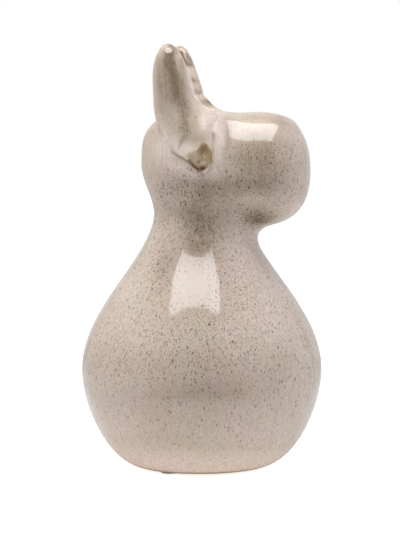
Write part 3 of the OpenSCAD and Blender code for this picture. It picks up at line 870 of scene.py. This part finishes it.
def paint_glaze(mesh):
    """Paints where the glaze lies thick or thin, with painted shade and light, and how many specks it holds, on body
    or head.
    """
    points = np.empty(len(mesh.vertices) * 3)
    mesh.vertices.foreach_get("co", points)
    x, _, z = points.reshape(-1, 3).T / MM
    # The creases hold thick glaze and painted shade
    rim = sum(stroke(x, z, line) for line in CREASES)
    # Rising or falling from a height over a reach, in mm; foot is a painted shadow line along the foot's edge and low
    # is painted light from the floor on the lower belly, both laid in the glaze
    foot, low, high = smooth((2.4 - z) / 0.9), smooth((18 - z) / 12), smooth((z - 5) / 50)
    paint(mesh, "pool_and_shade", spotted(x, z, POOLED_AND_PAINTED_SHADE) + rim + 0.65 * foot)
    paint(mesh, "thin", np.clip(spotted(x, z, THINNED_AND_PAINTED_LIGHT) + 0.65 * low - rim - foot, 0, 1))
    paint(mesh, "broken", np.clip(0.3 * rim + spotted(x, z, WARMED), 0, 1))
    paint(mesh, "specks", np.maximum(0.26 + 0.57 * high + spotted(x, z, SPECKLED), 0))


def glaze():
    """The glaze of body, head and antlers."""
    looks = settings().looks
    return finish(glazed, "speckled_glaze", looks.pooled, looks.broken)


class ReindeerOperator:
    """What every operator of the figure shares."""
    bl_options = {"REGISTER", "UNDO"}


class REINDEER_OT_body(ReindeerOperator, bpy.types.Operator):
    """Turn the pear-shaped body with its foot ring"""
    bl_idname = "reindeer.body"
    bl_label = "Body"

    def execute(self, context):
        looks = {"Glaze": glaze(), "Clay": finish(bare_clay)}
        mesh = run_tree("body", pear_tree(), {**named(settings().body), **looks})
        paint_glaze(mesh)
        place("body", mesh, "glaze", "body_shell")
        return {"FINISHED"}


class REINDEER_OT_head(ReindeerOperator, bpy.types.Operator):
    """Model the head and neck as one blended skin"""
    bl_idname = "reindeer.head"
    bl_label = "Head"

    def execute(self, context):
        body, head = settings().body, settings().head
        crown, wall = math.pi / 2, body.wall
        seam_r, seam_z = float(body_radius(body, body.seam_z)), body.seam_z
        low = -math.atan2(head.core_z - seam_z, seam_r)
        inner_low = -math.atan2(head.core_z - seam_z - wall, seam_r - wall)
        outer = head_detail(head_rings(np.linspace(low, crown, head.rows + 1)[1:-1], head.around, 0))
        inner = head_rings(np.linspace(inner_low, crown, head.inner_rows + 1)[:-1], head.around, -wall)[::-1]
        t = np.linspace(0, 2 * np.pi, head.around, endpoint=False)
        inside_r, spigot_z = head.spigot_r - head.spigot_t, seam_z - head.spigot_l
        corners = ((inside_r, seam_z + wall / 2), (inside_r, spigot_z), (head.spigot_r, spigot_z),
                   (head.spigot_r, seam_z), (seam_r, seam_z))
        spigot = np.stack([np.stack([r * np.cos(t), r * np.sin(t), np.full_like(t, z)], -1) for r, z in corners])
        inner_top, outer_top = (head_rings(np.array([crown]), 1, level)[0, 0] for level in (-wall, 0))
        mesh = ring_mesh("head", np.concatenate([inner, spigot, outer]), inner_top, outer_top)
        paint_glaze(mesh)
        mesh.materials.append(glaze())
        place("head", mesh, "glaze", "head_shell")
        return {"FINISHED"}


def antler_twist(u):
    a = settings().antler
    return a.twist * smooth((u - a.twist_from) / (a.twist_to - a.twist_from))


def antler_facing(u, turn):
    """Way that the antler's side faces in degrees: 0 ahead, 90 outwards, 180 back and -90 inwards."""
    return (np.degrees(turn - antler_twist(u)) + 180) % 360 - 180


def antler_slit(facing, h):
    """The slit in the antler's inner face, at a height in mm."""
    side = facing + 95 - 1.3 * (174 - h)
    return bump(side / np.where(side > 0, 20, 12)) * smooth((h - 166.5) / 2) * smooth((175.2 - h) / 1.5)


# Knobs on the antler's inner face and the crease between them: height, reach and depth in mm
KNOBS = ((165.6, 2.6, 0.7), (162, 1.0, -0.6), (158.2, 2.4, 0.5))


def antler_rings():
    """Rings of the left antler with their shares of height and turns round it."""
    a = settings().antler
    u = ((1 - np.cos(np.pi * np.arange(1, a.rows) / a.rows)) / 2)[:, None]
    turn = (2 * np.pi * (np.arange(a.around) + 0.5) / a.around)[None]
    middle_x, middle_y, z = antler_middle(u)
    half_w, half_t = antler_half(u, a.wide, a.tip_wide), antler_half(u, a.thick, a.tip_thick)
    ahead, outward = np.cos(turn), np.sin(turn)
    power = 2 / a.square
    along = np.where(ahead > 0, half_w + antler_spur(z), half_w * antler_back(z)) * powed(ahead, power)
    out = half_t * powed(outward, power)
    facing, h = antler_facing(u, turn), z / MM
    # Turns in degrees, shares of the height, and heights and reaches in mm
    furrow = bump((np.degrees(turn) - 98) / 13) * smooth((u - 0.34) / 0.16) * smooth((0.97 - u) / 0.08)
    knobs = sum(depth * bump((h - at) / reach) for at, reach, depth in KNOBS)
    out = out - a.groove * furrow - MM * (knobs * bump((facing + 62) / 26) - 0.5 * antler_slit(facing, h))
    along = along - a.nick * bump((h - 156.3) / 1.5) * smooth((ahead - 0.5) / 0.3)
    twist = antler_twist(u)
    x = middle_x + np.cos(twist) * along + np.sin(twist) * out
    y = middle_y + np.cos(twist) * out - np.sin(twist) * along
    z = np.broadcast_to(z, x.shape)
    y = antler_on_head(y, skin_y(x, z), outward) - antler_scoop(x, z, outward)
    return np.stack([x, y, z], -1), np.broadcast_to(u, x.shape), facing


# Strokes of thick glaze on the antler's outer face, seen from the side in mm:
# at each bend the place along, the height, half the width and the strength
STREAK = ((-9.7, 172.3, 1.9, 1.0), (-9.4, 168.6, 2.0, 1.15), (-8.2, 164.5, 1.9, 1.4), (-7.2, 160, 1.9, 1.4),
          (-6.4, 156.4, 2.2, 1.2), (-6, 153.9, 2.3, 1.0), (-4.6, 151.5, 2.6, 0.7), (-3.8, 147.5, 3.0, 0.52),
          (-3.2, 143, 2.3, 0.52), (-2.9, 139.5, 2.2, 0.3), (-4.4, 136.8, 1.0, 0.35), (-5.1, 134.8, 0.7, 0.25))
# Strokes of painted shade, partly thick glaze, left of the streak and in the hollow above the ear, with bends as for
# STREAK
SHADES = (((-11.5, 170, 2.2, 0.3), (-10.8, 160, 2.8, 0.55), (-9.6, 154.5, 2.6, 0.42), (-9, 150.5, 2.2, 0.2)),
          ((-14.6, 171, 1.5, 0.35), (-13.6, 162, 1.8, 0.35), (-13, 156, 1.8, 0.35), (-12.8, 150, 1.6, 0.25)),
          ((-5.2, 170, 1.5, 0.4), (-4.6, 160, 1.8, 0.55), (-2.6, 152, 2.4, 0.4), (-1.2, 146, 3.0, 0.3),
           (0.5, 139.5, 4.0, 0.33)))
# Painted shade above the brown arch of the ear, as soft spots like those of body and head
ANTLER_PAINTED_SHADE = ((4, 137.8, 3, 1.9, 0.25),)


def antler_shade(x, h):
    """Painted shade, partly thick glaze, between the streak and the ear, seen from the side in mm."""
    return sum(stroke(x, h, line) for line in SHADES) + spotted(x, h, ANTLER_PAINTED_SHADE)


def paint_antler(mesh, u, facing, x, h):
    """Paints the streak, the thin edges, the brown tip and spur and the creases of an antler,
    with painted shade, painted light and a painted highlight on the tip.
    """
    def each(values):
        return np.concatenate([[values.flat[0]], values.ravel(), [values[-1].mean()]])

    # Turns in degrees, shares of the height, and places, heights and reaches in mm
    outer = smooth(0.5 + np.sin(np.radians(facing)) / 0.5)
    # flat is a painted highlight: a pale patch on the top of the tip
    flat = smooth((1.2 - np.hypot((x + 10.2) / 1.5, (h - 174.2) / 1.3)) / 0.5) * outer
    # shades is painted shade, partly thick glaze
    streak, shades = (part * outer * (1 - flat) for part in (stroke(x, h, STREAK), antler_shade(x, h)))
    slit = antler_slit(facing, h)
    inner = bump((facing + 60) / 30)
    crease = inner * bump((h - 162) / 0.8)
    # Painted shade on the inner face near the top, where the antlers face each other
    inner_painted_shade = bump((facing + 48) / 36) * smooth((h - 167) / 2) * smooth((175 - h) / 2)
    crown = (0.25 * outer * (1 - flat) + 0.35 * (1 - outer)) * smooth((h - 173.6) / 1.4)
    # rim is thick glaze and painted shade along the lower rim
    rim = stroke(x, h, CREASES[0]) * outer
    pool_and_shade = streak + shades + 1.3 * slit + 0.6 * crease + inner_painted_shade + crown + rim
    # The pale front edge is thin glaze with a painted highlight along it; the back edge is thin glaze
    edge = 0.9 * bump((facing - 9) / 9) * smooth((0.95 - u) / 0.05) * smooth((h - 131) / 6)
    edge = edge * (1 - 0.6 * smooth((155 - h) / 6))
    edge = edge + 0.5 * bump((np.abs(facing) - 180) / 30) * smooth((0.8 - u) / 0.2)
    knobs = inner * (bump((h - 165.6) / 2.4) + 0.7 * bump((h - 158.2) / 2.4))
    # pale is painted light
    pale = spotted(x, h, ANTLER_PAINTED_LIGHT) * outer
    tip = 0.45 * outer * smooth((h - 171.5) / 2) * bump((x + 9.4) / 3.2) * (1 - flat)
    spur = 0.9 * soft_spot(facing, h, -22, 153, 28, 1.7) + 0.2 * soft_spot(facing, h, 0, 152.5, 18, 1.6)
    paint(mesh, "pool_and_shade", each(pool_and_shade))
    paint(mesh, "thin", each(np.clip(edge + 0.3 * knobs + pale + 0.1 + flat - pool_and_shade, 0, 1)))
    paint(mesh, "broken", each(np.clip(tip + spur + 0.35 * streak ** 2 + 0.7 * slit ** 2 + 0.3 * rim, 0, 1)))
    paint(mesh, "specks", each(0.06 + 0.9 * streak))


class REINDEER_OT_antlers(ReindeerOperator, bpy.types.Operator):
    """Model the two stub antlers"""
    bl_idname = "reindeer.antlers"
    bl_label = "Antlers"

    def execute(self, context):
        a = settings().antler
        rings, u, facing = antler_rings()
        foot_x, _, foot_z = antler_middle(0.0)
        foot = np.array([foot_x, float(skin_y(np.array(foot_x), np.array(foot_z))) - a.tuck * SUNK, foot_z])
        tip = np.array(antler_middle(1.0))
        for side, mirror in SIDES:
            flip = np.array([1, mirror, 1])
            mesh = ring_mesh(side + "_antler", rings * flip, foot * flip, tip * flip)
            paint_antler(mesh, u, facing, rings[..., 0] / MM, rings[..., 2] / MM)
            mesh.materials.append(glaze())
            place(side + "_antler", mesh, "glaze", side + "_antler")
        return {"FINISHED"}


def ear_rings(heights):
    """Rings over the left ear's outline, each at a scale of it and a height over the antler, and their shares."""
    e = settings().ear
    turn = 2 * np.pi * np.arange(e.around) / e.around
    scale = np.array([scale for scale, _ in heights])[:, None]
    along, up = -scale * powed(np.cos(turn), e.point), scale * powed(np.sin(turn), e.point)
    x, z = e.x + along * e.wide / 2, e.z + up * e.high / 2
    y = antler_face_y(x, z) + np.array([height for _, height in heights])[:, None]
    return np.stack([x, y, z], -1), along, up


# Shares of the ear's outline: its film of slip, the hidden back's rings and the innermost ring in front
FILM, BACK, INNERMOST = (0.3, 0.8), np.linspace(0.1, 1, 8), 0.02


class REINDEER_OT_ears(ReindeerOperator, bpy.types.Operator):
    """Model the two small cupped ears at the antlers' lower ends and the slip behind them"""
    bl_idname = "reindeer.ears"
    bl_label = "Ears"

    def execute(self, context):
        e, looks = settings().ear, settings().looks

        def front(scale):
            """Height of the ear over the antler at a scale of its outline."""
            if scale < e.edge_at:
                return e.cup_t + (e.edge_t - e.cup_t) * smooth(scale / e.edge_at)
            return e.edge_t - (e.edge_t - e.lip) * smooth((scale - e.edge_at) / (1 - e.edge_at))

        back = [(scale, -e.tuck) for scale in BACK]
        rings, along, up = ear_rings(back + [(scale, front(scale)) for scale in np.linspace(1, INNERMOST, e.rings)])
        layers = self.layers(*(np.concatenate([[0.0], part.ravel(), [0.0]]) for part in (along, up)))
        film = ear_rings([(scale, -e.slip) for scale in FILM] + [(scale, e.slip) for scale in FILM[::-1]])[0]
        slip = bmesh.new()
        for side, mirror in SIDES:
            flip = np.array([1, mirror, 1])
            mesh, film_mesh = (
                ring_mesh(name, part * flip, part[0].mean(0) * flip, part[-1].mean(0) * flip)
                for name, part in ((side + "_ear", rings), ("film", film)))
            for name, values in layers.items():
                paint(mesh, name, values)
            mesh.materials.append(finish(glazed, "ear_glaze", looks.ear_pooled, looks.ear_broken))
            place(side + "_ear", mesh, "pooled_glaze", side + "_ear")
            slip.from_mesh(film_mesh)
        mesh = bpy.data.meshes.new("ear_slip_film")
        slip.to_mesh(mesh)
        slip.free()
        mesh.materials.append(finish(bare_clay))
        place("ear_slip_film", mesh, "slip", "ear_slip")
        return {"FINISHED"}

    def layers(self, along, up):
        """What is painted on an ear: dark glaze with a brown arch at the top and a brown spot at the bottom,
        a painted shadow line along its lower-left edge and the antler's painted shade and light round it.
        """
        e = settings().ear
        x, h = (e.x + along * e.wide / 2) / MM, (e.z + up * e.high / 2) / MM
        spade, arch = filled(along, up, EAR_SPADE, 0.3), filled(along, up, EAR_ARCH, 0.6)
        tail, strip, cream, spot, dot, side = (soft_spot(along, up, *place_at) for place_at in EAR_SPOTS)
        # A painted shadow line, laid as thick glaze, along the ear's lower-left edge
        edge = bump(from_line(along, up, EAR_EDGE)[0] / 0.13)
        lobe = 0.42 + 0.48 * smooth(along / 0.5)
        # Round the dark glaze the ear carries on the antler's painted shade and painted light
        around = (1 - spade) * antler_shade(x, h)
        bare = (1 - spade) * (0.1 + spotted(x, h, ANTLER_PAINTED_LIGHT))
        thick = spade * (lobe + 0.2 * arch + 0.2 * tail - 0.5 * cream - 0.4 * strip) + 1.1 * edge + around
        brown = spade * (0.66 * arch + 0.33 * tail + 0.7 * dot + 0.25 * side - 0.25 * strip) + spot + 0.5 * edge
        return {"pool_and_shade": np.clip(thick, 0, 1.1), "thin": np.clip(0.15 * strip + bare - edge - around, 0, 1),
                "broken": np.clip(brown, 0, 1), "specks": np.full(along.shape, 0.12)}


class REINDEER_OT_felt_pads(ReindeerOperator, bpy.types.Operator):
    """Set the felt pads under the foot"""
    bl_idname = "reindeer.felt_pads"
    bl_label = "Felt pads"

    def execute(self, context):
        mesh = run_tree("felt_pads_soft", pads_tree(), {**named(settings().pad), "Felt": finish(wool_felt)})
        place("felt_pads_soft", mesh, "felt", "felt_pads")
        return {"FINISHED"}


class REINDEER_OT_slip(ReindeerOperator, bpy.types.Operator):
    """Give the slip in the joints the look of bare fired clay"""
    bl_idname = "reindeer.slip"
    bl_label = "Slip in the joints"

    def execute(self, context):
        for name in ("neck_slip", "antler_slip"):
            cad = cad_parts[name]
            cad.data.materials.clear()
            cad.data.materials.append(finish(bare_clay))
        return {"FINISHED"}


WHITE = (1, 1, 1, 1)
FLOOR_HALF = 4
# Rings of the floor in metres, from and to: shade under the foot, fade into the white far off, light onto the belly
FOOT_SHADE, FAR_WHITE, BELLY_LIGHT = (0.021, 0.0275), (0.09, 0.3), (0.03, 0.065)
# Panels of light in metres: width and height, and the height of their middle
SIDE_PANEL, BACK_PANEL, PANEL_Z = (1.5, 1.1), (1.2, 1.1), 0.55
SOFTBOX_TINT = (0.98, 1, 1.04)
# Side panels: name, place across and tint
SIDE_PANELS = (("side_panel_left", -0.62, (1, 1, 1)), ("side_panel_right", 0.62, (1.03, 1.04, 1.19)))
SENSOR = 36.0


def panel(name, size, brightness, where, facing, tint=(1, 1, 1), turn=0.0):
    """A flat panel of light that the camera doesn't see."""
    light = bpy.data.lights.new(name, "AREA")
    light.color = tint
    light.shape, (light.size, light.size_y) = "RECTANGLE", size
    light.energy = brightness * math.pi * size[0] * size[1]
    lamp = bpy.data.objects.new(name, light)
    lamp.location = where
    lamp.rotation_mode = "QUATERNION"
    lamp.rotation_quaternion = Quaternion((0, 0, 1), turn) @ Vector(facing).to_track_quat("-Z", "Y")
    lamp.visible_camera = False
    bpy.context.scene.collection.objects.link(lamp)


class REINDEER_OT_stage(ReindeerOperator, bpy.types.Operator):
    """Set up the white floor, the studio light and the camera"""
    bl_idname = "reindeer.stage"
    bl_label = "Stage"

    def execute(self, context):
        s = settings().stage
        context.scene.view_settings.view_transform = "Standard"
        self.floor(s)
        self.world(s)
        panel("softbox", (s.softbox_w, s.softbox_d), s.softbox, (s.softbox_x, s.softbox_y, s.softbox_z), (0, 0, -1),
              SOFTBOX_TINT, s.softbox_turn)
        for name, x, tint in SIDE_PANELS:
            panel(name, SIDE_PANEL, s.side, (x, -0.05, PANEL_Z), (-x, 0, 0), tint)
        panel("back_panel", BACK_PANEL, s.back, (0, 0.75, PANEL_Z), (0, -1, 0))
        self.camera(s)
        return {"FINISHED"}

    def floor(self, s):
        """White floor that glows to the camera, lights the underside and shows dark in the glaze beyond the table."""
        mesh = bpy.data.meshes.new("floor")
        corners = ((-1, -1), (1, -1), (1, 1), (-1, 1))
        mesh.from_pydata([(x * FLOOR_HALF, y * FLOOR_HALF, 0) for x, y in corners], [], [(0, 1, 2, 3)])
        material, tree, position = new_material("white_floor")
        path = node(tree, "ShaderNodeLightPath").outputs

        def glow(strength):
            return node(tree, "ShaderNodeEmission", {"Color": WHITE, "Strength": strength}).outputs[0]

        def either(share, a, b):
            return node(tree, "ShaderNodeMixShader", {0: share, 1: a, 2: b}).outputs[0]

        away = measured(tree, "LENGTH", position)
        bright = ranged(away, *FOOT_SHADE, 0.5, s.floor_glow).at_least(ranged(away, *FAR_WHITE))
        lift = ranged(away, *BELLY_LIGHT, s.floor_lift, 0.0) * Value(path["Is Diffuse Ray"])
        matt = node(tree, "ShaderNodeBsdfDiffuse", {"Color": rgba(s.floor)}).outputs[0]
        seen, lit = (node(tree, "ShaderNodeAddShader", {0: matt, 1: glow(v)}).outputs[0] for v in (bright, lift))
        ahead = measured(tree, "DOT_PRODUCT", position, (math.sin(s.azimuth), -math.cos(s.azimuth), 0))
        before = ranged(ahead / away, 0.6, 0.95) * ranged(away, s.table_r, s.table_r + 0.01)
        mix = either(path["Is Camera Ray"], lit, seen)
        mix = either(before * Value(path["Is Glossy Ray"]), mix, glow(s.around))
        node(tree, "ShaderNodeOutputMaterial", {0: mix})
        mesh.materials.append(material)
        floor = bpy.data.objects.new("floor", mesh)
        bpy.context.scene.collection.objects.link(floor)

    def world(self, s):
        """White to the camera and dim for everything else."""
        world = bpy.data.worlds.new("studio")
        bpy.context.scene.world = world
        world.use_nodes = True
        tree = world.node_tree
        tree.nodes.clear()
        path = node(tree, "ShaderNodeLightPath").outputs
        dim, white = (node(tree, "ShaderNodeBackground", {"Color": WHITE, "Strength": v}).outputs[0]
                      for v in (s.around, 1.0))
        mix = node(tree, "ShaderNodeMixShader", {0: path["Is Camera Ray"], 1: dim, 2: white}).outputs[0]
        node(tree, "ShaderNodeOutputWorld", {0: mix})

    def camera(self, s):
        """The photo's view."""
        lens = bpy.data.cameras.new("camera")
        lens.lens, lens.sensor_width = s.lens, SENSOR
        lens.clip_start, lens.clip_end = 0.01, 20
        camera = bpy.data.objects.new("camera", lens)
        spot = Vector((math.sin(s.azimuth) * s.distance, -math.cos(s.azimuth) * s.distance, s.height))

        def look(at):
            """Ways ahead and to the right when looking at a point."""
            ahead = (at - spot).normalized()
            return ahead, ahead.cross(Vector((0, 0, 1))).normalized()

        aim = Vector((0, 0, s.aim_z))
        ahead, right = look(aim - look(aim)[1] * s.aim_left)
        up = right.cross(ahead)
        cos, sin = math.cos(s.roll), math.sin(s.roll)
        right, up = cos * right + sin * up, cos * up - sin * right
        camera.matrix_world = Matrix.Translation(spot) @ Matrix((right, up, -ahead)).transposed().to_4x4()
        bpy.context.scene.collection.objects.link(camera)
        bpy.context.scene.camera = camera


class REINDEER_PT_panel(bpy.types.Panel):
    """Lists the pieces of the figure"""
    bl_idname = "REINDEER_PT_panel"
    bl_label = "Stoneware reindeer"
    bl_space_type = "VIEW_3D"
    bl_region_type = "UI"
    bl_category = "Reindeer"

    def draw(self, context):
        for operator in OPERATORS:
            self.layout.operator(operator.bl_idname, text=operator.bl_label)


OPERATORS = (REINDEER_OT_body, REINDEER_OT_head, REINDEER_OT_antlers, REINDEER_OT_ears, REINDEER_OT_felt_pads,
             REINDEER_OT_slip, REINDEER_OT_stage)
GROUPS = (BodySizes, HeadSizes, AntlerSizes, EarSizes, PadSizes, GlazeColours, StageSizes, ReindeerSettings)


def register():
    for cls in (*GROUPS, *OPERATORS, REINDEER_PT_panel):
        bpy.utils.register_class(cls)
    bpy.types.Scene.reindeer = PointerProperty(
        type=ReindeerSettings, name="Reindeer", description="Sizes and colours")


def unregister():
    del bpy.types.Scene.reindeer
    for cls in reversed((*GROUPS, *OPERATORS, REINDEER_PT_panel)):
        bpy.utils.unregister_class(cls)


def main():
    register()
    bpy.ops.reindeer.body()
    bpy.ops.reindeer.head()
    bpy.ops.reindeer.antlers()
    bpy.ops.reindeer.ears()
    bpy.ops.reindeer.felt_pads()
    bpy.ops.reindeer.slip()
    bpy.ops.reindeer.stage()


if __name__ == "__main__":
    main()
